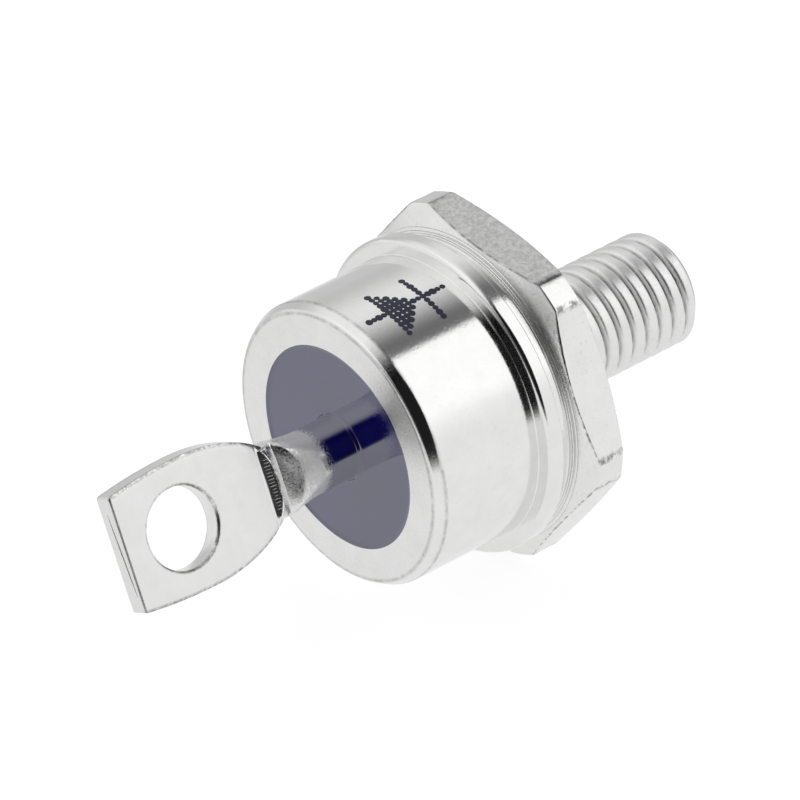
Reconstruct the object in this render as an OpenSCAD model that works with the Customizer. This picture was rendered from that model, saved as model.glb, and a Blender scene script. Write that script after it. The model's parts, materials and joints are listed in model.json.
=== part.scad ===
/* [Stud base] */
// Width of the hexagon across its flats
hex_af = 17.4; // [16:0.1:22]
// Thickness of the hexagon
hex_h = 2.7; // [2:0.1:6]
// How far the hexagon's sharp corners are turned down
hex_corner_cut = 0.45; // [0.1:0.05:0.8]
// How far in from the flats the seat face ends
seat_chamfer_in = 0.28; // [0.1:0.02:0.6]
// Slope of the chamfer round the seat face
seat_chamfer_angle = 20; // [10:1:30]
// How far in from the flats the hexagon's other face ends
top_chamfer_in = 0.7; // [0.3:0.05:1]
// Slope of the chamfer on the can's side of the hexagon
top_chamfer_angle = 24; // [10:1:30]
// Outer diameter of the stud's thread
stud_d = 6.16; // [4:0.02:8]
// Length of the stud, from the seat face to its end
stud_len = 10.9; // [8:0.1:20]
// Chamfer at the free end of the stud
stud_chamfer = 0.45; // [0.1:0.05:1]
// Height of the raised pad that carries the chip
pad_h = 0.7; // [0.5:0.1:1.5]
// Gap between the raised pad and the can's inner wall
pad_gap = 0.8; // [0.3:0.1:1.2]

/* [Weld ring] */
// Thickness of the ring between the hexagon and the can's flange
ring_h = 0.75; // [0.3:0.05:1.2]
// How far the ring's edge lies behind the flange's edge
ring_setback = 0.45; // [0.1:0.05:0.8]
// Gap between the ring and the raised pad inside it
ring_gap = 0.15; // [0.05:0.05:0.4]

/* [Can] */
// Outer diameter of the can
can_d = 15.3; // [14:0.1:16.5]
// Height of the can, from under its flange to its front face
can_h = 7.55; // [6.5:0.05:11]
// Thickness of the can's side wall
can_wall = 0.8; // [0.5:0.05:1.2]
// How far inside the hexagon's flats the welding flange ends
flange_inset = 0.15; // [0.05:0.05:0.6]
// Thickness of the welding flange
flange_t = 0.9; // [0.4:0.05:1.2]
// Rounding of the flange's front edge
flange_edge_r = 0.3; // [0.1:0.05:0.35]
// Radius of the flare between the flange and the side wall
flare_r = 0.1; // [0.05:0.05:0.4]
// Width of the sloping edge round the front face
rim_in = 0.32; // [0.1:0.02:0.6]
// Depth of the sloping edge round the front face
rim_down = 0.56; // [0.1:0.02:0.8]

/* [Glass seal] */
// Diameter of the glass disc
glass_d = 10.98; // [9:0.02:12]
// Thickness of the glass disc
glass_t = 2.2; // [1.5:0.1:3]
// How far the glass lies below the can's front face
glass_recess = 0.13; // [0.05:0.01:0.4]
// How far the glass climbs at the foot of the terminal tube
wetting = 0.2; // [0.1:0.02:0.4]

/* [Terminal lug] */
// Outer diameter of the terminal tube
tube_d = 3.4; // [2.8:0.1:4]
// Wall of the terminal tube
tube_wall = 0.7; // [0.4:0.05:0.9]
// Length of tube that stands out below the glass, inside the can
tube_tail = 0.4; // [0.2:0.1:0.8]
// Distance from the can's front face to the crimp step
crimp_at = 4.6; // [4.2:0.05:7]
// Length over which the round tube is squeezed down to the crimp step
crimp_len = 2; // [0.8:0.1:2.2]
// Depth of the mark that the press leaves round the tube where the squeeze starts
press_mark = 0.02; // [0.01:0.01:0.05]
// How much thinner than the tube the crimp step is
crimp_press = 1.6; // [0.4:0.05:2]
// Length of the slope from the crimp step down to the flattened lug
step_len = 0.4; // [0.1:0.05:0.8]
// How much wider than the tube the crimp step is
crimp_spread = 0.46; // [0:0.02:0.6]
// Distance from the can's front face to the lug's tip
lug_reach = 14; // [13:0.1:18]
// Widest part of the flattened lug
blade_w = 6.8; // [5.6:0.05:8]
// Thickness of the flattened lug
blade_t = 1.15; // [0.8:0.05:1.6]
// Rounding of the lug's long edges
blade_edge_r = 0.35; // [0.1:0.05:0.4]
// How much narrower than its widest part the lug is at its tip
tip_narrowing = 0.7; // [0.1:0.05:1.5]
// Length of the shoulder from the crimp step to the lug's widest part
shoulder_len = 4.85; // [3.5:0.05:6]
// Diameter of the hole in the lug
hole_d = 4.2; // [3:0.1:4.8]
// Distance from the middle of the hole to the lug's tip
hole_to_tip = 3.6; // [2.8:0.1:4.2]
// Turn of the flat lug about the axis, away from the hexagon's upper flat
lug_turn = -58; // [-180:1:180]

/* [Chip and contacts] */
// Diameter of the silicon chip
die_d = 7.2; // [6:0.1:8.4]
// Thickness of the silicon chip
die_t = 0.3; // [0.2:0.02:0.5]
// Thickness of each solder layer
solder_t = 0.08; // [0.04:0.01:0.12]
// Thickness of the buffer plate under the chip
plate_t = 0.6; // [0.4:0.05:0.9]
// How far the buffer plate reaches past the chip's edge
plate_margin = 0.6; // [0.4:0.1:1]
// How far the contact cup stays back from the chip's edge
cup_margin = 0.8; // [0.4:0.1:1.2]
// Thickness of the contact cup's floor
cup_floor_t = 0.5; // [0.45:0.05:0.8]
// Height of the contact cup's collar above its floor
cup_collar_h = 0.6; // [0.3:0.05:0.8]
// Wall of the contact cup's collar
cup_collar_wall = 0.5; // [0.3:0.05:0.7]
// Gap round the lead in the tube and in the cup
lead_gap = 0.04; // [0.02:0.01:0.1]
// Height of the coating above the chip's upper face
coating_h = 0.4; // [0.2:0.05:0.5]
// Width of the coating's top beside the contact cup
coating_top_w = 0.3; // [0.1:0.05:0.35]
// How far the coating stays back from the buffer plate's edge
coating_setback = 0.15; // [0.05:0.05:0.3]

/* [Hidden] */
$fn = 96;

// Heights along the axis, counted from the seat face towards the terminal
flange_z = hex_h + ring_h;
face_z = flange_z + can_h;
glass_top_z = face_z - glass_recess;
glass_low_z = glass_top_z - glass_t;
tube_low_z = glass_low_z - tube_tail;
crimp_z = face_z + crimp_at;
squeeze_z = crimp_z - crimp_len;
tip_z = face_z + lug_reach;
hole_z = tip_z - hole_to_tip;
widest_z = crimp_z + shoulder_len;
pad_z = hex_h + pad_h;
plate_z = pad_z + solder_t;
plate_top_z = plate_z + plate_t;
die_z = plate_top_z + solder_t;
die_top_z = die_z + die_t;
cup_z = die_top_z + solder_t;
cup_floor_z = cup_z + cup_floor_t;

// Radii about the axis
hex_corner_r = hex_af / 2 / cos(30);
hex_turned_r = hex_corner_r - hex_corner_cut;
hex_seat_r = hex_af / 2 - seat_chamfer_in;
hex_top_r = hex_af / 2 - top_chamfer_in;
stud_r = stud_d / 2;
can_r = can_d / 2;
can_bore_r = can_r - can_wall;
flange_r = hex_af / 2 - flange_inset;
pad_r = can_bore_r - pad_gap;
glass_r = glass_d / 2;
tube_r = tube_d / 2;
tube_bore_r = tube_r - tube_wall;
lead_r = tube_bore_r - lead_gap;
die_r = die_d / 2;
plate_r = die_r + plate_margin;
cup_r = die_r - cup_margin;

// Half widths of the lug, and the half lengths of the two ellipses that its sides follow
step_half_t = (tube_d - crimp_press) / 2;
step_half_w = (tube_d + crimp_spread) / 2;
blade_half_w = blade_w / 2;
tip_half_w = blade_half_w - tip_narrowing / 2;
shoulder_half_len = shoulder_len / sqrt(1 - pow(step_half_w / blade_half_w, 2));
tip_half_len = (tip_z - widest_z) / sqrt(1 - pow(tip_half_w / blade_half_w, 2));

// Smoothness of the squeezed tube and of the flattened lug
corner_steps = 8;
squeeze_steps = 8;
shoulder_steps = 14;
tip_steps = 8;
section_points = 4 * corner_steps;

// Lays the part on a flat of its hexagon, with the terminal towards -X and the stud towards +X
module lay_down() {
    rotate([0, -90, 0]) children();
}

// A flat round disc on the axis
module disc(r, z, h) {
    translate([0, 0, z]) cylinder(r = r, h = h);
}

module stud_base() {
    color("gainsboro") lay_down() {
        intersection() {
            rotate(30) cylinder(r = hex_corner_r, h = hex_h, $fn = 6);
            rotate_extrude() turned_hex_profile();
        }
        rotate_extrude() stud_and_pad_profile();
    }
}

// Half section that turns down the hexagon's corners and chamfers them towards both faces
module turned_hex_profile() {
    seat_chamfer_h = (hex_turned_r - hex_seat_r) * tan(seat_chamfer_angle);
    top_chamfer_h = (hex_turned_r - hex_top_r) * tan(top_chamfer_angle);
    polygon([[0, 0], [hex_seat_r, 0], [hex_turned_r, seat_chamfer_h],
             [hex_turned_r, hex_h - top_chamfer_h], [hex_top_r, hex_h], [0, hex_h]]);
}

// Half section of what stands out from the hexagon: the stud on one side, the chip's pad on the other
module stud_and_pad_profile() {
    polygon([[0, -stud_len], [stud_r - stud_chamfer, -stud_len], [stud_r, stud_chamfer - stud_len],
             [stud_r, hex_h / 2], [pad_r, hex_h / 2], [pad_r, pad_z], [0, pad_z]]);
}

module weld_ring() {
    color("silver") lay_down() difference() {
        disc(flange_r - ring_setback, hex_h, ring_h);
        disc(pad_r + ring_gap, hex_h - ring_h, 3 * ring_h);
    }
}

module can() {
    color("whitesmoke") lay_down() rotate_extrude() difference() {
        union() {
            flange_profile();
            translate([0, flange_z]) square([can_r, can_h]);
            flare_profile();
        }
        translate([0, flange_z - can_wall]) square([can_bore_r, glass_low_z - flange_z + can_wall]);
        translate([0, flange_z]) square([glass_r, 2 * can_h]);
        polygon([[can_r - rim_in, face_z], [can_r + rim_in, face_z + rim_down],
                 [can_r + rim_in, face_z - rim_down], [can_r, face_z - rim_down]]);
    }
}

// Flat flange with a rounded front edge
module flange_profile() {
    translate([0, flange_z]) square([flange_r - flange_edge_r, flange_t]);
    translate([0, flange_z]) square([flange_r, flange_t - flange_edge_r]);
    translate([flange_r - flange_edge_r, flange_z + flange_t - flange_edge_r]) circle(r = flange_edge_r);
}

// Hollow curve that leads from the can's side wall out onto the flange
module flare_profile() {
    flange_top = flange_z + flange_t;
    difference() {
        translate([can_r - flare_r, flange_top - flange_t / 2]) square([2 * flare_r, flare_r + flange_t / 2]);
        translate([can_r + flare_r, flange_top + flare_r]) circle(r = flare_r);
    }
}

module glass_seal() {
    color("midnightblue") lay_down() rotate_extrude()
        polygon([[tube_r, glass_low_z], [glass_r, glass_low_z], [glass_r, glass_top_z],
                 [tube_r + wetting, glass_top_z], [tube_r, glass_top_z + wetting]]);
}

module terminal_lug() {
    color("whitesmoke") lay_down() difference() {
        union() {
            disc(tube_r, tube_low_z, squeeze_z - tube_low_z);
            rotate(lug_turn) pressed_tube();
        }
        disc(tube_bore_r, tube_low_z - tube_wall, squeeze_z - tube_low_z + tube_wall);
        rotate(lug_turn) translate([-blade_t, 0, hole_z]) rotate([0, 90, 0])
            cylinder(d = hole_d, h = 2 * blade_t);
    }
}

// The tube from the start of the crimp to the tip, as a skin through cross sections
module pressed_tube() {
    sections = concat(squeezed_sections(), blade_sections());
    last = len(sections) - 1;
    n = section_points;
    sides = [for (i = [0:last - 1]) for (j = [0:n - 1])
        [i * n + j, (i + 1) * n + j, (i + 1) * n + (j + 1) % n, i * n + (j + 1) % n]];
    low_end = [for (j = [0:n - 1]) j];
    tip_end = [for (j = [0:n - 1]) last * n + n - 1 - j];
    polyhedron(points = [for (s = sections) each s], faces = concat(sides, [low_end], [tip_end]));
}

// Rounded rectangle across the axis, its flats standing exactly at the given half sizes
function section(z, half_t, half_w, edge_r) =
    let (r = edge_r / cos(45 / corner_steps))
    [for (q = [0:3]) for (i = [0:corner_steps - 1])
        let (a = 90 * (q + (i + 0.5) / corner_steps),
             x = (half_t - edge_r) * (q == 0 || q == 3 ? 1 : -1),
             y = (half_w - edge_r) * (q < 2 ? 1 : -1))
        [x + r * cos(a), y + r * sin(a), z]];

function blend(a, b, s) = a + (b - a) * s * s * (3 - 2 * s);

// Round tube squeezed down to the crimp step, with a first section that lies inside the round tube
function squeezed_sections() =
    let (start_r = tube_r - press_mark, inner_r = tube_r - tube_wall / 2)
    concat([section(squeeze_z - tube_wall / 2, inner_r, inner_r, inner_r)],
           [for (i = [0:squeeze_steps])
               let (s = i / squeeze_steps, half_t = blend(start_r, step_half_t, s))
               section(squeeze_z + s * crimp_len, half_t, blend(start_r, step_half_w, s),
                       half_t * blend(1, 0.7, s))]);

// Flattened lug, from the foot of the crimp step's slope to the tip
function blade_sections() =
    [for (z = blade_heights()) section(z, blade_t / 2, half_width(z), blade_edge_r)];

function blade_heights() =
    let (foot_z = crimp_z + step_len)
    concat([for (i = [0:shoulder_steps]) widest_z - (widest_z - foot_z) * cos(90 * i / shoulder_steps)],
           [for (i = [1:tip_steps]) widest_z + (tip_z - widest_z) * i / tip_steps]);

function half_width(z) =
    let (half_len = z < widest_z ? shoulder_half_len : tip_half_len)
    blade_half_w * sqrt(1 - pow((z - widest_z) / half_len, 2));

module inner_lead() {
    color("peru") lay_down() disc(lead_r, cup_floor_z, squeeze_z - cup_floor_z);
}

module contact_cup() {
    color("chocolate") lay_down() difference() {
        union() {
            disc(cup_r, cup_z, cup_floor_t);
            disc(tube_bore_r + cup_collar_wall, cup_floor_z, cup_collar_h);
        }
        disc(tube_bore_r, cup_floor_z, 2 * cup_collar_h);
    }
}

module cup_solder() {
    color("darkgray") lay_down() disc(cup_r, die_top_z, solder_t);
}

module silicon_die() {
    color("dimgray") lay_down() disc(die_r, die_z, die_t);
}

module die_solder() {
    color("darkgray") lay_down() disc(die_r, plate_top_z, solder_t);
}

module buffer_plate() {
    color("slategray") lay_down() disc(plate_r, plate_z, plate_t);
}

module plate_solder() {
    color("darkgray") lay_down() disc(plate_r, pad_z, solder_t);
}

module junction_coating() {
    outer_r = plate_r - coating_setback;
    color("ivory") lay_down() rotate_extrude()
        polygon([[die_r, plate_top_z], [outer_r, plate_top_z], [outer_r, die_top_z],
                 [cup_r + coating_top_w, die_top_z + coating_h], [cup_r, die_top_z + coating_h],
                 [cup_r, die_top_z], [die_r, die_top_z]]);
}

stud_base();
weld_ring();
can();
glass_seal();
terminal_lug();
inner_lead();
contact_cup();
cup_solder();
silicon_die();
die_solder();
buffer_plate();
plate_solder();
junction_coating();
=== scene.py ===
import json
import math

import bmesh
import bpy
from mathutils import Matrix, Quaternion, Vector


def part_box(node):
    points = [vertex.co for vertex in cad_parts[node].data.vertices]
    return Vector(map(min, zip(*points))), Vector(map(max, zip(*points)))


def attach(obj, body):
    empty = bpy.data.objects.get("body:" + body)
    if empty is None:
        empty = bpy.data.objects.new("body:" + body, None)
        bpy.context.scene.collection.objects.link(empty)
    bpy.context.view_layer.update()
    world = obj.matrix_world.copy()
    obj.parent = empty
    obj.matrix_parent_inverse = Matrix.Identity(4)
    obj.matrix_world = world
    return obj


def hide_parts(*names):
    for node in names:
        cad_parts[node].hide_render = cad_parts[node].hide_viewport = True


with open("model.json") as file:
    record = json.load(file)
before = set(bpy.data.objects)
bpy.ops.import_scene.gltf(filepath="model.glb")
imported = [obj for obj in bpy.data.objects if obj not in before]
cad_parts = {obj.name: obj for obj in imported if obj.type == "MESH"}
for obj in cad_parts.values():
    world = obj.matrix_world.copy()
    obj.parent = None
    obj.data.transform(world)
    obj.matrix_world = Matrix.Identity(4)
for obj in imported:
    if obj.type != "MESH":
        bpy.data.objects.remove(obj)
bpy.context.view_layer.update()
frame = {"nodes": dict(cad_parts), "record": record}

# Stud base
# The hexagon, the stud and the raised pad are turned from one copper bar. Six flats are milled
# on the hexagon, the thread is rolled on the stud, and the whole is plated with bright nickel.
MM = 0.001
mounts = {mount["name"]: mount for mount in frame["record"]["mounts"]}
base_low, base_high = (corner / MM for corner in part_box("stud_base"))
ring_low, ring_high = (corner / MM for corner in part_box("weld_ring"))
flat_r = base_high.z
turned_r = base_high.y
pad_x = base_low.x
pad_r = 6.05
hex_x = ring_high.x
hex_face_r = flat_r - 0.7
hex_slope = math.tan(math.radians(24))
hex_chamfer_h = (turned_r - hex_face_r) * hex_slope
seat_r = flat_r - 0.28
seat_chamfer_h = (turned_r - seat_r) * math.tan(math.radians(20))
stud_r = mounts["stud"]["dims"]["r_mm"]
stud_end_x = base_high.x
stud_chamfer = stud_end_x - mounts["stud"]["dims"]["length_mm"]
thread_pitch = 25.4 / 28
thread_depth = 0.38
thread_start = 0.4
line_radii = (8.16, 8.27, 8.45)
line_half_w = 0.03
line_depth = 0.015


def eased_outline(corners):
    """Points (x, r) along straight stretches between corners given as (x, r, rounding, step).

    The rounding is the radius of the arc at the corner, and the step is the longest distance
    between the points of the stretch that follows it."""
    arc_steps = 6
    points = []
    for i, (x, r, rounding, step) in enumerate(corners):
        here = Vector((x, r))
        if not rounding:
            points.append((here, step))
            continue
        before = Vector(corners[i - 1][:2]) - here
        after = Vector(corners[(i + 1) % len(corners)][:2]) - here
        half = before.angle(after) / 2
        reach = rounding / math.tan(half)
        inward = (before.normalized() + after.normalized()).normalized()
        middle = here + inward * rounding / math.sin(half)
        first = here + before.normalized() * reach - middle
        last = here + after.normalized() * reach - middle
        turn = first.angle_signed(last)
        for k in range(arc_steps + 1):
            spoke = first.copy()
            spoke.rotate(Matrix.Rotation(-turn * k / arc_steps, 2))
            points.append((middle + spoke, step if k == arc_steps else None))
    return points


def spaced(points, closed):
    """The outline with extra points: one near each end of a stretch, and others no more than a step apart."""
    made = []
    for i, (point, step) in enumerate(points):
        made.append(point)
        if step is None or (i == len(points) - 1 and not closed):
            continue
        stretch = points[(i + 1) % len(points)][0] - point
        pieces = max(3, math.ceil(stretch.length / step))
        near = min(0.04, stretch.length * 0.2)
        shares = [stretch.length * k / pieces for k in range(1, pieces)]
        shares += [near, stretch.length - near]
        made += [point + stretch.normalized() * share for share in sorted(shares)]
    return made


def skin(name, rings, closed):
    """A closed mesh through rings of points in millimetres. Open ends are closed to a flat cap."""
    mesh_data = bmesh.new()
    verts = [[mesh_data.verts.new(Vector(point) * MM) for point in ring] for ring in rings]
    around = len(rings[0])
    pairs = list(zip(verts, verts[1:]))
    if closed:
        pairs.append((verts[-1], verts[0]))
    for one, other in pairs:
        for j in range(around):
            k = (j + 1) % around
            mesh_data.faces.new((one[j], one[k], other[k], other[j]))
    if not closed:
        for ring in (verts[0], verts[-1]):
            centre = mesh_data.verts.new(sum((v.co for v in ring), Vector()) / around)
            for j in range(around):
                mesh_data.faces.new((ring[j], ring[(j + 1) % around], centre))
    bmesh.ops.recalc_face_normals(mesh_data, faces=mesh_data.faces)
    mesh = bpy.data.meshes.new(name)
    mesh_data.to_mesh(mesh)
    mesh_data.free()
    mesh.shade_smooth()
    piece = bpy.data.objects.new(name, mesh)
    bpy.context.scene.collection.objects.link(piece)
    return piece


def turned_piece(name, corners, angles, closed):
    """A piece turned about the X axis, from the corners of its outline and the angles of its spokes."""
    outline = spaced(eased_outline(corners), closed)
    spokes = [(math.cos(a), math.sin(a)) for a in angles]
    return skin(name, [[(x, r * c, r * s) for c, s in spokes] for x, r in outline], closed)


def wire(tree, kind, inputs=(), **settings):
    """Adds a node with settings, and gives its inputs a value or a link from another socket."""
    node = tree.nodes.new(kind)
    for key, value in settings.items():
        setattr(node, key, value)
    for key, value in dict(inputs).items():
        if isinstance(value, bpy.types.NodeSocket):
            tree.links.new(value, node.inputs[key])
        else:
            node.inputs[key].default_value = value
    return node


def result(tree, kind, inputs=(), **settings):
    """The first output of a node that wire adds."""
    return wire(tree, kind, inputs, **settings).outputs[0]


def sums(tree, operation, *terms):
    """The result of one Math node."""
    return result(tree, "ShaderNodeMath", enumerate(terms), operation=operation)


def times(tree, *factors):
    """The product of all factors."""
    product = factors[0]
    for factor in factors[1:]:
        product = sums(tree, "MULTIPLY", product, factor)
    return product


def diagonal(tree, one, other):
    """The length of the diagonal over two sides."""
    return sums(tree, "SQRT", sums(tree, "ADD", times(tree, one, one), times(tree, other, other)))


def ranged(tree, value, low, high, first=0.0, last=1.0):
    """Goes from first to last while a value goes from low to high, and stays between them."""
    return result(tree, "ShaderNodeMapRange", {0: value, 1: low, 2: high, 3: first, 4: last})


def towards(tree, place, direction):
    """How far a place lies in a direction."""
    node = wire(tree, "ShaderNodeVectorMath", {0: place, 1: direction}, operation="DOT_PRODUCT")
    return node.outputs["Value"]


def finish(name, metallic=0.0):
    """A new material, its node tree and its shader."""
    material = bpy.data.materials.new(name)
    material.use_nodes = True
    shader = material.node_tree.nodes["Principled BSDF"]
    shader.inputs["Metallic"].default_value = metallic
    return material, material.node_tree, shader


def millimetres(tree):
    """A piece's own coordinates in millimetres, as one socket and as three axes."""
    place = wire(tree, "ShaderNodeTexCoord").outputs["Object"]
    place = result(tree, "ShaderNodeMapping", {"Vector": place, "Scale": (1 / MM,) * 3})
    return place, wire(tree, "ShaderNodeSeparateXYZ", {0: place}).outputs


def noise(tree, place, scale, detail, roughness=0.5):
    """A value that wanders about one half from place to place."""
    return result(tree, "ShaderNodeTexNoise", {"Vector": place, "Scale": scale, "Detail": detail,
                                               "Roughness": roughness})


def two_tones(tree, share, dark, light, low=0.0, high=1.0):
    """A colour that goes from dark to light while a share goes from low to high."""
    node = wire(tree, "ShaderNodeValToRGB", {0: share})
    for stop, position, tone in zip(node.color_ramp.elements, (low, high), (dark, light)):
        stop.position = position
        stop.color = (*tone, 1)
    return node.outputs[0]


def darken(material, mask, share):
    """Takes a share of a material's colour away where a mask is 1."""
    tree = material.node_tree
    base_colour = tree.nodes["Principled BSDF"].inputs["Base Color"]
    plain = base_colour.links[0].from_socket
    shade = sums(tree, "MULTIPLY_ADD", mask, -share, 1.0)
    darkened = result(tree, "ShaderNodeVectorMath", {0: plain, "Scale": shade}, operation="SCALE")
    tree.links.new(darkened, base_colour)


def plated_nickel(name, tone, roughness, grain, lines, pits=0.0, zones=()):
    """Nickel plate: a grey metal with cloudy sheen, fine grain, pits, and turned lines about the X axis.

    Each zone gives an x in millimetres, the width of its blurred border, and the roughness and the
    grain that hold on the terminal's side of it."""
    material, tree, shader = finish(name, metallic=1.0)
    place, axes = millimetres(tree)
    cloud = noise(tree, place, 0.8, 5.0, 0.6)
    speck = noise(tree, place, 8.0, 3.0, 0.65)
    pit = ranged(tree, noise(tree, place, 6.0, 2.0), 0.4, 0.28)
    across = sums(tree, "MULTIPLY_ADD", diagonal(tree, axes[1], axes[2]), 0.8, axes[0])
    groove = result(tree, "ShaderNodeTexNoise", {"W": across, "Scale": 14.0, "Detail": 3.0, "Roughness": 0.7},
                    noise_dimensions="1D")
    dull_tone = [shade * 0.95 for shade in tone]
    tree.links.new(two_tones(tree, cloud, dull_tone, tone, 0.3, 0.65), shader.inputs["Base Color"])
    darken(material, pit, 0.4 * pits)
    sheen, depth = roughness, grain
    for edge_x, blur, zone_roughness, zone_grain in zones:
        wandering = sums(tree, "MULTIPLY_ADD", sums(tree, "SUBTRACT", speck, 0.5), 3 * blur, axes[0])
        beyond = ranged(tree, wandering, edge_x + blur / 2, edge_x - blur / 2)
        sheen = result(tree, "ShaderNodeMix", {0: beyond, 2: sheen, 3: zone_roughness})
        depth = result(tree, "ShaderNodeMix", {0: beyond, 2: depth, 3: zone_grain})
    uneven = ranged(tree, speck, 0.3, 0.7, 0.8, 1.3)
    tree.links.new(times(tree, uneven, sheen), shader.inputs["Roughness"])
    scored = result(tree, "ShaderNodeBump", {"Height": groove, "Strength": 1.0, "Distance": lines * MM})
    height = sums(tree, "SUBTRACT", times(tree, speck, depth), times(tree, pit, 0.012 * pits))
    grained = result(tree, "ShaderNodeBump", {"Height": height, "Strength": 1.0, "Distance": MM,
                                              "Normal": scored})
    tree.links.new(grained, shader.inputs["Normal"])
    return material


def paint_shade_on_base(material):
    """Painted shade: broken dark lines along the hexagon's edges, a darker upper flat and darker thread
    roots.
    """
    tree = material.node_tree
    place, axes = millimetres(tree)
    radius = diagonal(tree, axes[1], axes[2])
    widest = 0.0
    for angle in (30, 90, 150):
        normal = (0, math.cos(math.radians(angle)), math.sin(math.radians(angle)))
        widest = sums(tree, "MAXIMUM", widest, sums(tree, "ABSOLUTE", towards(tree, place, normal)))
    cone_r = sums(tree, "MULTIPLY_ADD", axes[0], 1 / hex_slope, hex_face_r - hex_x / hex_slope)
    # Painted shade along the hexagon's edges, broken up by noise.
    edges = [ranged(tree, sums(tree, "SUBTRACT", edge_r, radius), 0.14, 0.03)
             for edge_r in (cone_r, turned_r)]
    on_flat = ranged(tree, sums(tree, "SUBTRACT", flat_r, widest), 0.12, 0.05)
    broken = ranged(tree, noise(tree, place, 2.5, 4.0, 0.7), 0.42, 0.58)
    darken(material, times(tree, sums(tree, "MAXIMUM", *edges), on_flat, broken), 0.65)
    # Painted shade on the upper flat, in mottled patches.
    mottled_shade = ranged(tree, noise(tree, place, 5.0, 5.0, 0.75), 0.32, 0.62, 1.0, 0.35)
    on_top = ranged(tree, axes[2], flat_r - 0.16, flat_r - 0.06)
    darken(material, times(tree, mottled_shade, on_top), 0.5)
    # Painted shade in the thread's roots, stronger on the upper side.
    root = ranged(tree, radius, stud_r - 0.1, stud_r - 0.3)
    on_thread = sums(tree, "GREATER_THAN", axes[0], thread_start)
    upper = ranged(tree, axes[2], -1.5, 1.0, 0.2)
    darken(material, times(tree, root, on_thread, upper), 0.5)


def geometry_tree(name, sizes):
    """An empty node tree for geometry with one float input per named size, and a material input."""
    tree = bpy.data.node_groups.new(name, "GeometryNodeTree")
    tree.interface.new_socket("Geometry", in_out="OUTPUT", socket_type="NodeSocketGeometry")
    tree.interface.new_socket("Geometry", in_out="INPUT", socket_type="NodeSocketGeometry")
    for size in sizes:
        tree.interface.new_socket(size, in_out="INPUT", socket_type="NodeSocketFloat")
    tree.interface.new_socket("Material", in_out="INPUT", socket_type="NodeSocketMaterial")
    return tree, tree.nodes.new("NodeGroupInput").outputs


def point_axes(tree):
    """The three axes of a point's place, in a tree for geometry."""
    return wire(tree, "ShaderNodeSeparateXYZ", {0: result(tree, "GeometryNodeInputPosition")}).outputs


def close_tree(tree, geometry, material, painted_part=True):
    """Ends a tree: instances made real, then the material, then the output."""
    real = result(tree, "GeometryNodeRealizeInstances", {"Geometry": geometry})
    painted = result(tree, "GeometryNodeSetMaterial", {"Geometry": real, "Selection": painted_part,
                                                       "Material": material})
    wire(tree, "NodeGroupOutput", {"Geometry": painted})


def plain_mesh(piece, modifier):
    """Keeps what a modifier makes of a piece as the piece's own mesh, and removes the modifier."""
    shaped = bpy.data.meshes.new_from_object(piece.evaluated_get(bpy.context.evaluated_depsgraph_get()))
    piece.modifiers.remove(modifier)
    shaped.name = piece.name
    piece.data = shaped


def shaped_by(piece, tree, values):
    """Runs a tree on a piece with its inputs set by name, and keeps the result as a plain mesh."""
    modifier = piece.modifiers.new(tree.name, "NODES")
    modifier.node_group = tree
    for socket in tree.interface.items_tree:
        if socket.in_out == "INPUT" and socket.name in values:
            modifier[socket.identifier] = values[socket.name]
    plain_mesh(piece, modifier)


def cut_flats_and_thread():
    """Moves a turned blank's points in towards the X axis, to six flats and to a helical groove."""
    tree, given = geometry_tree("flats_and_thread", ["Flat radius", "Edge easing", "Wear", "Thread radius",
                                                     "Pitch", "Depth", "Thread start"])
    place = point_axes(tree)
    radius = diagonal(tree, place[1], place[2])
    angle = sums(tree, "ARCTAN2", place[2], place[1])
    from_flat = sums(tree, "WRAP", sums(tree, "SUBTRACT", angle, math.pi / 2), math.pi / 6, -math.pi / 6)
    dents = result(tree, "ShaderNodeTexNoise", {"Scale": 1.3 / MM, "Detail": 3.0, "Roughness": 0.6})
    worn = sums(tree, "SUBTRACT", given["Flat radius"], times(tree, given["Wear"], dents))
    flat = sums(tree, "DIVIDE", worn, sums(tree, "COSINE", from_flat))
    milled = sums(tree, "SMOOTH_MIN", radius, flat, times(tree, given["Edge easing"], dents, 2.0))
    turns = sums(tree, "SUBTRACT", sums(tree, "DIVIDE", place[0], given["Pitch"]),
                 sums(tree, "DIVIDE", angle, math.tau))
    groove = sums(tree, "POWER", times(tree, sums(tree, "PINGPONG", turns, 0.5), 2.0), 5.0)
    full_from = sums(tree, "ADD", given["Thread start"], given["Pitch"])
    runout = result(tree, "ShaderNodeMapRange", {0: place[0], 1: given["Thread start"], 2: full_from},
                    interpolation_type="SMOOTHSTEP")
    rolled = sums(tree, "SUBTRACT", given["Thread radius"], times(tree, given["Depth"], groove, runout))
    on_stud = sums(tree, "GREATER_THAN", place[0], 0.01 * MM)
    limit = result(tree, "GeometryNodeSwitch", {0: on_stud, 1: milled, 2: rolled}, input_type="FLOAT")
    share = sums(tree, "DIVIDE", sums(tree, "MINIMUM", milled, limit),
                 sums(tree, "MAXIMUM", radius, 0.001 * MM))
    moved = result(tree, "ShaderNodeCombineXYZ", {0: place[0], 1: times(tree, place[1], share),
                                                  2: times(tree, place[2], share)})
    cut = result(tree, "GeometryNodeSetPosition", {"Geometry": given["Geometry"], "Position": moved})
    close_tree(tree, cut, given["Material"])
    return tree


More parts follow.
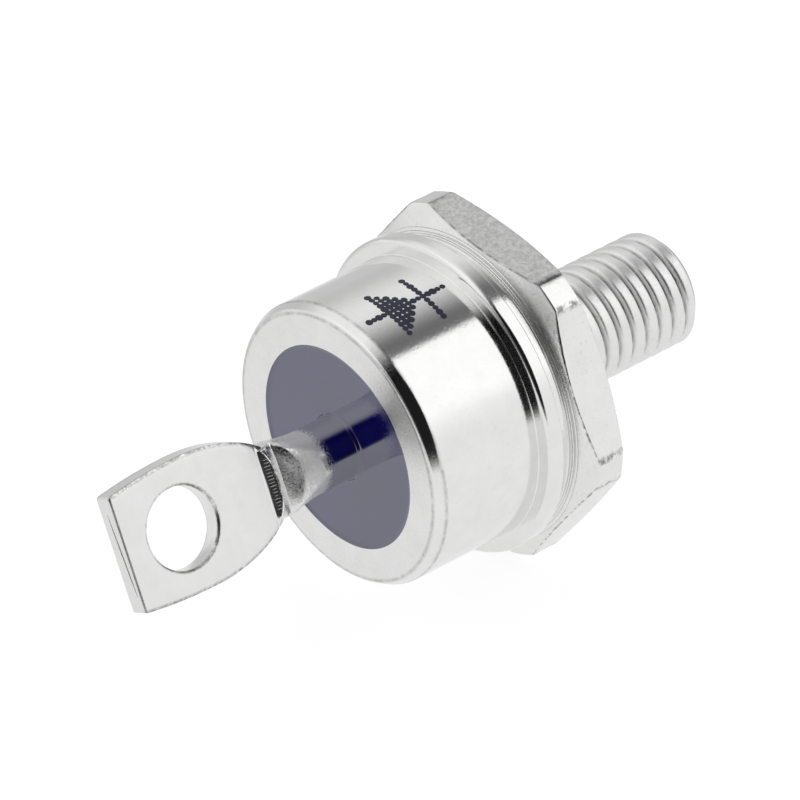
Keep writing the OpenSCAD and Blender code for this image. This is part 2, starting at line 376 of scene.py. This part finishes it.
turned_lines = []
for line_r in line_radii:
    for reach, depth in ((-line_half_w, 0.0), (0.0, line_depth), (line_half_w, 0.0)):
        line_x = hex_x + (line_r + reach - hex_face_r) * hex_slope
        turned_lines.append((line_x + depth, line_r + reach, 0, 0.5))
last_line_x, last_line_r = turned_lines.pop()[:2]
base_corners = [
    (pad_x, 0.02, 0, 2.0), (pad_x, pad_r, 0.1, 0.3), (hex_x, pad_r, 0, 0.7), (hex_x, hex_face_r, 0.04, 0.5),
    *turned_lines, (last_line_x, last_line_r, 0, 0.045), (hex_x + hex_chamfer_h, turned_r, 0.1, 0.2),
    (-seat_chamfer_h, turned_r, 0.1, 0.045), (0, seat_r, 0.04, 1.0), (0, stud_r, 0, 0.055),
    (stud_end_x - stud_chamfer, stud_r, 0.05, 0.045), (stud_end_x, stud_r - stud_chamfer, 0.06, 0.8),
    (stud_end_x, 0.02, 0, 1.0)]
half_sector = [0, 4, 8, 12, 15, 18, 20, 21.5, 22.5, 23.3, 23.9, 24.4, 24.8, 25.2, 25.6, 26, 26.5,
               27.2, 28.2, 29.2]
sector = [-a for a in reversed(half_sector[1:])] + half_sector
base_angles = [math.radians(90 + 60 * flat + a) for flat in range(6) for a in sector]
stud_base = turned_piece("nickel_stud_base", base_corners, base_angles, closed=False)
base_plate = plated_nickel("nickel_on_copper", (0.86, 0.86, 0.855), 0.36, 0.003, 0.001, pits=0.2,
                           zones=[(0.02, 0.02, 0.21, 0.006)])
# Paints shade into the plate's colour on the hexagon's edges, its upper flat and the thread's roots.
paint_shade_on_base(base_plate)
shaped_by(stud_base, cut_flats_and_thread(), {
    "Flat radius": flat_r * MM, "Edge easing": 0.1 * MM, "Wear": 0.03 * MM, "Thread radius": stud_r * MM,
    "Pitch": thread_pitch * MM, "Depth": thread_depth * MM, "Thread start": thread_start * MM,
    "Material": base_plate})
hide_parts("stud_base")
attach(stud_base, "root")

# Chip stack
# Buffer plate, silicon chip and contact cup are soldered to the pad one on another, with a ring
# of soft silicone round the chip's edge. They are sealed inside, so the CAD pieces stay as they are.


def inner_finish(name, dark, light, roughness, metallic, scale):
    """A plain inner material whose colour and sheen wander a little between two shades."""
    material, tree, shader = finish(name, metallic)
    cloud = noise(tree, millimetres(tree)[0], scale, 4.0)
    tree.links.new(two_tones(tree, cloud, dark, light), shader.inputs["Base Color"])
    rough = ranged(tree, cloud, 0.0, 1.0, roughness * 0.8, roughness * 1.2)
    tree.links.new(rough, shader.inputs["Roughness"])
    bump = result(tree, "ShaderNodeBump", {"Height": cloud, "Distance": 0.004 * MM})
    tree.links.new(bump, shader.inputs["Normal"])
    return material


solder = inner_finish("soft_solder", (0.4, 0.41, 0.43), (0.6, 0.61, 0.63), 0.4, 1.0, 3.0)
copper = inner_finish("bare_copper", (0.6, 0.28, 0.17), (0.8, 0.44, 0.3), 0.35, 1.0, 2.0)
inner_materials = {
    "plate_solder": solder,
    "buffer_plate": inner_finish("molybdenum", (0.36, 0.37, 0.39), (0.48, 0.49, 0.51), 0.35, 1.0, 4.0),
    "die_solder": solder,
    "silicon_die": inner_finish("silicon", (0.14, 0.15, 0.18), (0.24, 0.25, 0.29), 0.15, 0.6, 1.5),
    "cup_solder": solder,
    "contact_cup": copper,
    "junction_coating": inner_finish("silicone", (0.72, 0.7, 0.63), (0.84, 0.82, 0.76), 0.5, 0.0, 1.5),
    "inner_lead": copper,
}
for node, material in inner_materials.items():
    frame["nodes"][node].data.materials.clear()
    frame["nodes"][node].data.materials.append(material)

# Weld ring
# A thin steel ring brazed to the hexagon, to which the can is welded. Its edge keeps a fine groove
# from turning at its foot. It is plated like the can, whose rim is duller than its wall.
can_low, can_high = (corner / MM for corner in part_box("can"))
face_x = can_low.x
ring_bore_r = pad_r + 0.15
ring_r = ring_high.z
groove_depth = 0.06
groove_half_w = 0.05
groove_x = ring_high.x - 0.1
ring_corners = [
    (ring_high.x, ring_bore_r, 0.03, 0.6), (ring_high.x, ring_r, 0.015, 0.1),
    (groove_x + groove_half_w, ring_r, 0.015, 0.1), (groove_x, ring_r - groove_depth, 0.015, 0.1),
    (groove_x - groove_half_w, ring_r, 0.015, 0.3), (ring_low.x, ring_r, 0.03, 0.6),
    (ring_low.x, ring_bore_r, 0.03, 0.3)]
round_angles = [math.tau * k / 288 for k in range(288)]
weld_ring = turned_piece("steel_weld_ring", ring_corners, round_angles, closed=True)
steel_plate = plated_nickel("nickel_on_steel", (0.85, 0.85, 0.845), 0.11, 0.0016, 0.0003, pits=0.1,
                            zones=[(face_x + 0.7, 0.3, 0.14, 0.003), (face_x + 0.05, 0.1, 0.3, 0.002)])
weld_ring.data.materials.append(steel_plate)
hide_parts("weld_ring")
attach(weld_ring, "root")

# Can
# A drawn steel can with a welding flange, which has a rounded edge, and a thick front rim. It is
# plated with bright nickel, and the sign for a diode is printed on its wall in dots of ink.
glass_low, glass_high = (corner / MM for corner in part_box("glass_seal"))
flange_r = can_high.z
flange_x = can_high.x - 0.9
can_r = 7.65
can_bore_r = can_r - 0.8
glass_r = glass_high.z
rim_in = 0.32
rim_down = 0.56
can_corners = [
    (can_high.x, can_bore_r, 0.05, 0.6), (can_high.x, flange_r, 0.06, 0.3), (flange_x, flange_r, 0.3, 0.2),
    (flange_x, can_r, 0.06, 1.0), (face_x + rim_down, can_r, 0.4, 0.3), (face_x, can_r - rim_in, 0.3, 0.5),
    (face_x, glass_r, 0.06, 0.5), (glass_high.x - 2.0, glass_r, 0, 0.4), (glass_high.x, glass_r, 0, 0.4),
    (glass_high.x, can_bore_r, 0.1, 1.0)]
can = turned_piece("plated_can", can_corners, round_angles, closed=True)
can.data.materials.append(steel_plate)


def paint_shade_on_can_rim(material):
    """Painted shade: broken dark lines along both edges of the can's rounded rim."""
    tree = material.node_tree
    place, axes = millimetres(tree)
    radius = diagonal(tree, axes[1], axes[2])
    from_face_edge = sums(tree, "ABSOLUTE", sums(tree, "SUBTRACT", radius, can_r - rim_in - 0.12))
    from_wall_edge = sums(tree, "ABSOLUTE", sums(tree, "SUBTRACT", axes[0], face_x + rim_down))
    on_face = sums(tree, "LESS_THAN", axes[0], face_x + 0.2)
    on_wall = sums(tree, "GREATER_THAN", radius, can_r - 0.15)
    face_line = times(tree, ranged(tree, from_face_edge, 0.14, 0.02), on_face)
    wall_line = times(tree, ranged(tree, from_wall_edge, 0.14, 0.02), on_wall)
    broken = ranged(tree, noise(tree, place, 2.0, 5.0, 0.75), 0.28, 0.62)
    # Painted shade along both edges of the rounded rim.
    darken(material, times(tree, sums(tree, "MAXIMUM", face_line, wall_line), broken), 0.4)


def joined(tree, parts):
    """Several geometries as one."""
    node = wire(tree, "GeometryNodeJoinGeometry")
    for part in parts:
        tree.links.new(part, node.inputs[0])
    return node.outputs[0]


def print_diode_sign():
    """Lays dots of ink on a round wall about the X axis, in rows that show the sign for a diode."""
    tree, given = geometry_tree("diode_sign", ["Wall radius", "Middle", "Half length", "Half width", "Turn",
                                               "Dot spacing", "Dot radius", "Ink height"])
    sides = [times(tree, given[half], 2.0) for half in ("Half length", "Half width")]
    gaps = [sums(tree, "ROUND", sums(tree, "DIVIDE", side, given["Dot spacing"])) for side in sides]
    dots_along = [sums(tree, "ADD", gap, 1.0) for gap in gaps]
    grid = result(tree, "GeometryNodeMeshGrid", enumerate(sides + dots_along))
    spot = point_axes(tree)
    along = sums(tree, "DIVIDE", spot[0], given["Half length"])
    aside = sums(tree, "DIVIDE", sums(tree, "ABSOLUTE", spot[1]), given["Half width"])
    slope = result(tree, "ShaderNodeMapRange", {0: along, 1: -0.5, 2: 0.35, 3: 1.05, 4: 0.0}, clamp=False)
    arrow = times(tree, sums(tree, "LESS_THAN", aside, slope), sums(tree, "GREATER_THAN", along, -0.5))
    bar = sums(tree, "COMPARE", along, 0.42, 0.08)
    lead = sums(tree, "LESS_THAN", aside, 0.13)
    shown = sums(tree, "MAXIMUM", sums(tree, "MAXIMUM", arrow, bar), lead)
    blank = sums(tree, "LESS_THAN", shown, 0.5)
    kept = result(tree, "GeometryNodeDeleteGeometry", {"Geometry": grid, "Selection": blank}, domain="POINT")
    turn = sums(tree, "ADD", given["Turn"], sums(tree, "DIVIDE", spot[1], given["Wall radius"]))
    laid = result(tree, "ShaderNodeCombineXYZ", {
        0: sums(tree, "ADD", spot[0], given["Middle"]),
        1: times(tree, sums(tree, "COSINE", turn), given["Wall radius"]),
        2: times(tree, sums(tree, "SINE", turn), given["Wall radius"])})
    wrapped = result(tree, "GeometryNodeSetPosition", {"Geometry": kept, "Position": laid})
    outward = result(tree, "ShaderNodeCombineXYZ", {1: spot[1], 2: spot[2]})
    turned = result(tree, "FunctionNodeAlignRotationToVector", {"Vector": outward}, axis="Z")
    size = wire(tree, "FunctionNodeRandomValue", {2: 0.75, 3: 1.1, "Seed": 4}).outputs[1]
    dot = result(tree, "GeometryNodeMeshCylinder", {"Vertices": 10, "Radius": given["Dot radius"],
                                                    "Depth": given["Ink height"]})
    dot = result(tree, "GeometryNodeStoreNamedAttribute", {"Geometry": dot, "Name": "ink", "Value": True},
                 data_type="BOOLEAN", domain="FACE")
    dots = result(tree, "GeometryNodeInstanceOnPoints", {"Points": wrapped, "Instance": dot,
                                                         "Rotation": turned, "Scale": size})
    inked = result(tree, "GeometryNodeInputNamedAttribute", {"Name": "ink"}, data_type="BOOLEAN")
    close_tree(tree, joined(tree, [dots, given["Geometry"]]), given["Material"], inked)
    return tree


# Painted shade along both edges of the can's rim.
paint_shade_on_can_rim(steel_plate)
ink, tree, shader = finish("navy_ink")
blot = noise(tree, millimetres(tree)[0], 3.0, 3.0)
tree.links.new(two_tones(tree, blot, (0.006, 0.006, 0.02), (0.03, 0.03, 0.075)), shader.inputs["Base Color"])
shader.inputs["Roughness"].default_value = 0.5
shaped_by(can, print_diode_sign(), {
    "Wall radius": can_r * MM, "Middle": -7.4 * MM, "Half length": 2.4 * MM, "Half width": 1.6 * MM,
    "Turn": math.radians(93), "Dot spacing": 0.32 * MM, "Dot radius": 0.2 * MM, "Ink height": 0.02 * MM,
    "Material": ink})
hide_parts("can")
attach(can, "root")

# Glass seal
# Dark blue glass melted into the can's mouth. It lies a little below the rim, and draws up at
# its edge and where it wets the foot of the terminal tube.
tube_r = 1.7
disc_x = face_x + 0.13
wetting_x = glass_low.x + 0.02
glass_corners = [
    (glass_high.x, tube_r, 0.02, 1.0), (glass_high.x, glass_r, 0.05, 0.5), (disc_x - 0.05, glass_r, 0, 0.05),
    (disc_x, glass_r - 0.2, 0.3, 0.6), (disc_x, tube_r + 0.17, 0.15, 0.05),
    (wetting_x, tube_r + 0.015, 0, 0.05), (wetting_x, tube_r, 0, 0.6)]
glass_seal = turned_piece("blue_glass_seal", glass_corners, round_angles, closed=True)
blue_glass, tree, shader = finish("blue_glass")
shader.inputs["IOR"].default_value = 2.3
cloud = noise(tree, millimetres(tree)[0], 1.2, 4.0)
tree.links.new(two_tones(tree, cloud, (0.004, 0.003, 0.1), (0.008, 0.006, 0.16)), shader.inputs["Base Color"])
tree.links.new(ranged(tree, cloud, 0.0, 1.0, 0.03, 0.07), shader.inputs["Roughness"])
glass_seal.data.materials.append(blue_glass)
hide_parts("glass_seal")
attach(glass_seal, "root")

# Terminal lug
# One copper tube, round through the glass, crimped on the lead, and pressed flat beyond a sharp
# step into a blade with a punched hole. It is plated with nickel.
lug_low, lug_high = (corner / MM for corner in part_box("terminal_lug"))
hole = mounts["terminal_hole"]
hole_x = hole["pos_m"][0] / MM
hole_r = hole["dims"]["r_mm"]
blade_half_t = hole["dims"]["length_mm"] / 2
blade_normal = Vector(hole["axis"])
across_blade = Vector((0, blade_normal.z, -blade_normal.y))
tube_bore_r = 1.0
squeeze_x = face_x - 2.6
fold_x = squeeze_x + 0.5
step_x = face_x - 4.6
foot_x = step_x - 0.48
widest_x = step_x - 4.85
tip_x = lug_low.x
tip_start_x = tip_x + 0.14
ridge_x = step_x + 0.2
ridge_half_t = 0.87
step_half_w = 1.93
blade_half_w = 3.4
tip_half_w = blade_half_w - 0.35
edge_easing = 0.34
dent_x = squeeze_x + 0.3
dent_end_x = ridge_x + 0.3
dent_start_t = tube_r + 0.52
dimple_half_t = 0.72
ridge_rise = ridge_half_t - dimple_half_t
step_sink = 0.03
slope = (ridge_half_t - blade_half_t + step_sink) / (ridge_x - foot_x)


def blend(low, high, value):
    """Smooth rise from 0 to 1 while the value goes from low to high."""
    share = min(1.0, max(0.0, (value - low) / (high - low)))
    return share * share * (3 - 2 * share)


def soft_min(one, other, easing):
    """The smaller of two values, with a soft passage where they differ by less than the easing."""
    share = max(easing - abs(one - other), 0.0) / easing
    return min(one, other) - share * share * easing / 4


def lug_half_width(x):
    """Half width of the pressed lug, which follows one ellipse to its widest part and another past it."""
    if x > widest_x:
        edge_w, length = step_half_w, step_x - widest_x
    else:
        edge_w, length = tip_half_w, widest_x - tip_x
    half_length = length / math.sqrt(1 - (edge_w / blade_half_w) ** 2)
    return blade_half_w * math.sqrt(max(0.0, 1 - ((x - widest_x) / half_length) ** 2))


def pressed_reach(through, aside, height, bulge):
    """How far out a press's face lies, in a direction given by its parts through and across the blade."""
    root = math.sqrt(max(0.0, through ** 2 + 4 * bulge * height * aside ** 2))
    return 2 * height / (through + root)


def lug_section(x, base, barrel, presses, wings, crease, easing=0.1):
    """One ring of the lug: a barrel pressed from both sides, and two flat wings that grow out of it.

    The base, the barrel and the wings are half sizes (through the blade, across the blade). Each
    press leaves a face at a height (half size through the blade) that bulges, or is hollow where
    the bulge is below zero, across the blade."""
    ring = []
    per_quarter = 28
    for quarter in range(4):
        for k in range(per_quarter):
            s = 2 * k / per_quarter - 1
            a = math.radians(90 * quarter + 45 + 45 * math.copysign(abs(s) ** 1.7, s))
            heading = Vector((base[0] * math.cos(a), base[1] * math.sin(a))).normalized()
            round_reach = 1 / math.hypot(heading.x / barrel[0], heading.y / barrel[1])
            through, aside = max(1e-6, abs(heading.x)), max(1e-6, abs(heading.y))
            pressed = min(pressed_reach(through, aside, height, bulge) for height, bulge in presses)
            body = soft_min(round_reach, pressed, easing)
            wing = soft_min(wings[0] / through, wings[1] / aside, edge_easing)
            reach = -soft_min(-body, -wing, crease)
            spoke = blade_normal * heading.x + across_blade * heading.y
            ring.append(Vector((x, 0, 0)) + spoke * reach)
    return ring


def round_ring(x, r):
    """One ring of the tube, which no press has reached."""
    return lug_section(x, (1, 1), (r, r), [(50.0, 0.0)], (0.1, 0.1), 0.01)


def flat_ring(x, base, wings):
    """One ring of the blade, where nothing of the barrel shows."""
    return lug_section(x, base, (0.2, 0.2), [(0.2, 0.0)], wings, 0.01)


def crimp_ring(x):
    """One ring of the crimp: a dent that runs down to a ridge, and a steep slope down to the blade."""
    grown = blend(fold_x, ridge_x, x)
    dip = min(1.0, max(0.0, dent_x - x) / (dent_x - dent_end_x))
    rise = max(0.0, dent_end_x - x) / (dent_end_x - ridge_x) * ridge_rise
    dent = (dent_start_t + (dimple_half_t - dent_start_t) * dip + rise, 0.04 + 0.25 * rise - 0.3 * (1 - dip))
    step_face = (blade_half_t - step_sink + slope * (x - foot_x), 0.0)
    base = (tube_r + (0.8 - tube_r) * grown, tube_r + (step_half_w - tube_r) * grown)
    barrel = (tube_r, tube_r + (step_half_w + 0.04 - tube_r) * grown)
    wing_start = tube_r - 0.25
    wing_w = wing_start + (step_half_w - wing_start) * blend(fold_x, dent_end_x, x)
    if x < step_x:
        wing_w = lug_half_width(x)
    easing = 0.5 - 0.42 * min(1.0, rise / ridge_rise)
    return lug_section(x, base, barrel, [dent, step_face], (blade_half_t, wing_w), 0.04, easing)


lug_rings = [round_ring(x, r) for x, r in (
    (squeeze_x, 0.3), (squeeze_x, 0.9), (squeeze_x + 0.1, tube_bore_r), (lug_high.x - 0.1, tube_bore_r),
    (lug_high.x, tube_bore_r + 0.1), (lug_high.x, tube_r - 0.1), (lug_high.x - 0.1, tube_r))]
tube_steps = 12
lug_rings += [round_ring(lug_high.x + (fold_x - lug_high.x) * k / tube_steps, tube_r)
              for k in range(1, tube_steps + 1)]
crimp_steps = 84
lug_rings += [crimp_ring(fold_x + (foot_x - fold_x) * k / crimp_steps) for k in range(1, crimp_steps + 1)]
blade_steps = 90
blade_start = foot_x - 0.05
for k in range(blade_steps + 1):
    x = blade_start + (tip_start_x - blade_start) * k / blade_steps
    half_w = lug_half_width(x)
    spread_t = blade_half_t + 0.225 * max(0, 1 - k / 12)
    lug_rings.append(flat_ring(x, (spread_t, half_w), (blade_half_t, half_w)))
for inset, back in ((0.02, 0.09), (0.06, 0.04), (0.13, 0.01), (0.24, 0.0)):
    ends = (blade_half_t - inset, tip_half_w - inset)
    lug_rings.append(flat_ring(tip_x + back, ends, ends))
terminal_lug = skin("plated_terminal_lug", lug_rings, closed=False)


def cut_away(piece, cutter):
    """Takes the cutter's shape out of a piece, clears faces without area and drops the cutter."""
    modifier = piece.modifiers.new("cut", "BOOLEAN")
    modifier.solver = "EXACT"
    modifier.object = cutter
    plain_mesh(piece, modifier)
    mesh_data = bmesh.new()
    mesh_data.from_mesh(piece.data)
    bmesh.ops.triangulate(mesh_data, faces=[face for face in mesh_data.faces if len(face.verts) > 4])
    bmesh.ops.dissolve_degenerate(mesh_data, dist=0.0005 * MM, edges=mesh_data.edges)
    mesh_data.to_mesh(piece.data)
    mesh_data.free()
    bpy.data.objects.remove(cutter)


hole_middle = Vector((hole_x, 0, 0))
hole_spokes = [Vector((math.cos(a), 0, 0)) + across_blade * math.sin(a) for a in round_angles[::3]]
hole_side = [(0.38, 0.0), (0.46, 0.015), (0.52, 0.06), (0.9, 0.4)]
hole_rings = [[hole_middle + blade_normal * t + spoke * (hole_r + wider) for spoke in hole_spokes]
              for t, wider in [(-t, wider) for t, wider in reversed(hole_side)] + hole_side]
cut_away(terminal_lug, skin("hole", hole_rings, closed=False))
seam_half_w = 2.2
seam_steps = 10
seam_rings = []
for k in range(-seam_steps, seam_steps + 1):
    w = seam_half_w * k / seam_steps
    gap = 0.012 + 0.05 * (1 - (k / seam_steps) ** 2)
    middle = blade_normal * (0.2 - 0.07 * w) + across_blade * w + Vector((tip_x, 0, 0))
    seam_rings.append([middle + blade_normal * t + Vector((d, 0, 0))
                       for t, d in ((-gap, -0.1), (gap, -0.1), (0.2 * gap, 0.3), (-0.2 * gap, 0.3))])
cut_away(terminal_lug, skin("seam", seam_rings, closed=False))
terminal_lug.data.set_sharp_from_angle(angle=math.radians(24))


def score_step():
    """Lays thin ridges side by side down the slopes of the crimp step, on both sides of the blade."""
    tree, given = geometry_tree("step_ridges", ["Ridges", "Spread", "Length", "Width", "Slope", "Middle",
                                                "Reach"])
    start = result(tree, "ShaderNodeCombineXYZ", {2: times(tree, given["Spread"], -0.5)})
    stride = sums(tree, "DIVIDE", given["Spread"], sums(tree, "SUBTRACT", given["Ridges"], 1.0))
    stride = result(tree, "ShaderNodeCombineXYZ", {2: stride})
    row = result(tree, "GeometryNodeMeshLine", {"Count": given["Ridges"], "Start Location": start,
                                                "Offset": stride}, mode="OFFSET")
    ridge = result(tree, "GeometryNodeMeshIcoSphere", {"Radius": 0.5 * MM, "Subdivisions": 2})
    width = sums(tree, "DIVIDE", given["Width"], MM)
    length = sums(tree, "DIVIDE", given["Length"], MM)
    size = result(tree, "ShaderNodeCombineXYZ", {0: width, 1: length, 2: width})
    uneven = wire(tree, "FunctionNodeRandomValue", {2: 0.6, 3: 1.15, "Seed": 2}).outputs[1]
    size = result(tree, "ShaderNodeVectorMath", {0: size, "Scale": uneven}, operation="SCALE")
    lean = result(tree, "ShaderNodeCombineXYZ", {0: math.atan2(blade_normal.z, blade_normal.y)})
    along = result(tree, "ShaderNodeCombineXYZ", {0: given["Middle"]})
    parts = [given["Geometry"]]
    for side in (1, -1):
        tilt = times(tree, sums(tree, "SUBTRACT", math.pi / 2, given["Slope"]), -float(side))
        turned = result(tree, "ShaderNodeCombineXYZ", {2: tilt})
        ridges = result(tree, "GeometryNodeInstanceOnPoints", {"Points": row, "Instance": ridge,
                                                               "Rotation": turned, "Scale": size})
        out = result(tree, "ShaderNodeVectorMath", {0: tuple(blade_normal * side), "Scale": given["Reach"]},
                     operation="SCALE")
        spot = result(tree, "ShaderNodeVectorMath", {0: out, 1: along})
        parts.append(result(tree, "GeometryNodeTransform", {"Geometry": ridges, "Translation": spot,
                                                            "Rotation": lean}))
    close_tree(tree, joined(tree, parts), given["Material"])
    return tree


def paint_shade_on_lug_edges(material):
    """Painted shade: broken dark lines along the blade's two long edges and round its hole."""
    tree = material.node_tree
    place, axes = millimetres(tree)
    aside = towards(tree, place, across_blade)
    along = sums(tree, "SUBTRACT", axes[0], widest_x)
    half_widths = []
    for edge_w, length in ((tip_half_w, widest_x - tip_x), (step_half_w, step_x - widest_x)):
        narrowing = (1 - (edge_w / blade_half_w) ** 2) / length ** 2
        squared = sums(tree, "MULTIPLY_ADD", times(tree, along, along), -narrowing, 1.0)
        half_widths.append(times(tree, sums(tree, "SQRT", squared), blade_half_w))
    on_shoulder = sums(tree, "GREATER_THAN", along, 0.0)
    half_w = result(tree, "ShaderNodeMix", {0: on_shoulder, 2: half_widths[0], 3: half_widths[1]})
    from_edge = sums(tree, "SUBTRACT", half_w, sums(tree, "ABSOLUTE", aside))
    from_middle = diagonal(tree, sums(tree, "SUBTRACT", axes[0], hole_x), aside)
    nearest = sums(tree, "MINIMUM", from_edge, sums(tree, "SUBTRACT", from_middle, hole_r))
    line = ranged(tree, nearest, 0.2, 0.08)
    broken = ranged(tree, noise(tree, place, 4.0, 5.0, 0.75), 0.36, 0.6)
    on_blade = ranged(tree, axes[0], foot_x, foot_x - 0.3)
    through = sums(tree, "ABSOLUTE", towards(tree, place, blade_normal))
    at_corner = ranged(tree, through, blade_half_t - 0.22, blade_half_t - 0.1)
    # Painted shade along the blade's edges and round its hole.
    darken(material, times(tree, line, at_corner, broken, on_blade), 0.6)


lug_plate = plated_nickel("nickel_on_lug", (0.84, 0.84, 0.835), 0.04, 0.0002, 0.0, zones=[
    (squeeze_x + 0.8, 0.6, 0.5, 0.008), (squeeze_x - 0.8, 0.9, 0.26, 0.01),
    (ridge_x - 0.1, 0.04, 0.15, 0.001), (foot_x, 0.02, 0.2, 0.0025), (tip_x + 0.16, 0.1, 0.36, 0.006)])
# Painted shade along the lug's blade edges and round its hole.
paint_shade_on_lug_edges(lug_plate)
shaped_by(terminal_lug, score_step(), {
    "Ridges": 16.0, "Spread": 2.6 * MM, "Length": 0.34 * MM, "Width": 0.03 * MM,
    "Slope": math.atan(slope), "Middle": (ridge_x + foot_x) / 2 * MM,
    "Reach": (ridge_half_t + blade_half_t) / 2 * MM, "Material": lug_plate})
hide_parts("terminal_lug")
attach(terminal_lug, "root")

# Floor
# A plain white table top under the hexagon's lower flat, which keeps a soft shadow. It shines a
# little for the camera and in the metal, and is duskier behind the part, where the metal shows it.
floor_z = base_low.z * MM
floor_half = 1.5
floor_corners = ((-1, -1), (1, -1), (1, 1), (-1, 1))
floor_mesh = bpy.data.meshes.new("floor")
floor_points = [(x * floor_half, y * floor_half, floor_z) for x, y in floor_corners]
floor_mesh.from_pydata(floor_points, [], [(0, 1, 2, 3)])
floor = bpy.data.objects.new("floor", floor_mesh)
bpy.context.scene.collection.objects.link(floor)
white_table, tree, shader = finish("white_table")
tree.nodes.remove(shader)
rays = wire(tree, "ShaderNodeLightPath").outputs
mirrored = sums(tree, "MAXIMUM", rays["Is Glossy Ray"], rays["Is Transmission Ray"])
seen = sums(tree, "MAXIMUM", rays["Is Camera Ray"], mirrored)
spot = millimetres(tree)[1]
dusk = times(tree, ranged(tree, spot[1], 12.0, 40.0), ranged(tree, spot[0], -40.0, -5.0))
mirrored_level = sums(tree, "MULTIPLY_ADD", dusk, -0.4, 1.04)
level = result(tree, "ShaderNodeMix", {0: rays["Is Camera Ray"], 2: mirrored_level, 3: 1.18})
matte = result(tree, "ShaderNodeBsdfDiffuse", {"Color": (0.9, 0.9, 0.9, 1)})
glow = result(tree, "ShaderNodeEmission", {"Color": (1, 1, 1, 1), "Strength": level})
glow_share = 0.76
table_shade = result(tree, "ShaderNodeMixShader", {0: times(tree, seen, glow_share), 1: matte, 2: glow})
tree.links.new(table_shade, tree.nodes["Material Output"].inputs["Surface"])
floor_mesh.materials.append(white_table)

# Studio light
# A white light tent. Its open front, where the camera stands, is dark, and so are the gap between
# the panels overhead and a slit at the left. Bright metal shows them as black bands.
front_gap = Vector((-0.52, -0.6, 0.61)).normalized()
left_gap = Vector((-0.95, -0.25, 0.1)).normalized()
roof_gap = Vector((0.269, -0.962, 0.058)).normalized()
world = bpy.data.worlds.new("light_tent")
bpy.context.scene.world = world
world.use_nodes = True
tree = world.node_tree
heading = wire(tree, "ShaderNodeTexCoord").outputs["Generated"]
axes = wire(tree, "ShaderNodeSeparateXYZ", {0: heading}).outputs


def ramp(value, low, high):
    """Smooth rise from 0 to 1 while the value goes from low to high."""
    return result(tree, "ShaderNodeMapRange", {0: value, 1: low, 2: high}, interpolation_type="SMOOTHSTEP")


def gap_shade(direction, outer, inner):
    """A round dark spot in the tent, which fades between two angles from its middle."""
    fade = [math.cos(math.radians(angle)) for angle in (outer, inner)]
    return ramp(towards(tree, heading, direction), *fade)


left_dark = times(tree, gap_shade(left_gap, 38, 18), 0.9)
front_dark = sums(tree, "MAXIMUM", gap_shade(front_gap, 45, 30), left_dark)
roof_side = towards(tree, heading, roof_gap)
roof_dark = times(tree, ramp(roof_side, -0.42, 0.08), ramp(roof_side, 0.23, 0.18), ramp(axes[2], 0.3, 0.6))
low_dusk = sums(tree, "MULTIPLY_ADD", ramp(axes[2], 0.5, 0.05), 0.4, 0.6)
back_dusk = times(tree, ramp(axes[1], 0.0, 0.5), low_dusk, ramp(axes[0], -0.6, 0.0))
panel = times(tree, ramp(axes[0], -0.1, 0.3), ramp(axes[2], 0.35, 0.55), ramp(axes[1], 0.1, -0.1))
tent = sums(tree, "MULTIPLY_ADD", ramp(axes[2], 0.15, 0.6), 0.16, 0.92)
tent = sums(tree, "MULTIPLY_ADD", panel, 0.1, tent)
tent = sums(tree, "MULTIPLY_ADD", back_dusk, -0.32, tent)
roof_light = sums(tree, "MULTIPLY_ADD", roof_dark, -0.85, 1.0)
front_light = sums(tree, "MULTIPLY_ADD", front_dark, -0.99, 1.0)
rays = wire(tree, "ShaderNodeLightPath").outputs
level = sums(tree, "MAXIMUM", times(tree, tent, roof_light, front_light), rays["Is Camera Ray"])
background = tree.nodes["Background"]
background.inputs["Color"].default_value = (1, 1, 1, 1)
tree.links.new(level, background.inputs["Strength"])

# Camera
# It looks down on the lug from the front left, with a long lens and a slight roll.
camera_data = bpy.data.cameras.new("camera")
camera_data.lens = 387.8
camera_data.sensor_width = 36.0
camera = bpy.data.objects.new("camera", camera_data)
bpy.context.scene.collection.objects.link(camera)
aim = Vector((-4.55, 2.44, -1.67)) * MM
azimuth = math.radians(-43.94)
elevation = math.radians(38.84)
roll = math.radians(4.52)
distance = 434.94 * MM
back = Vector((math.sin(azimuth) * math.cos(elevation), -math.cos(azimuth) * math.cos(elevation),
               math.sin(elevation)))
camera.location = aim + back * distance
camera.rotation_mode = "QUATERNION"
camera.rotation_quaternion = (-back).to_track_quat("-Z", "Y") @ Quaternion((0, 0, 1), roll)
bpy.context.scene.camera = camera
bpy.context.scene.view_settings.view_transform = "Standard"
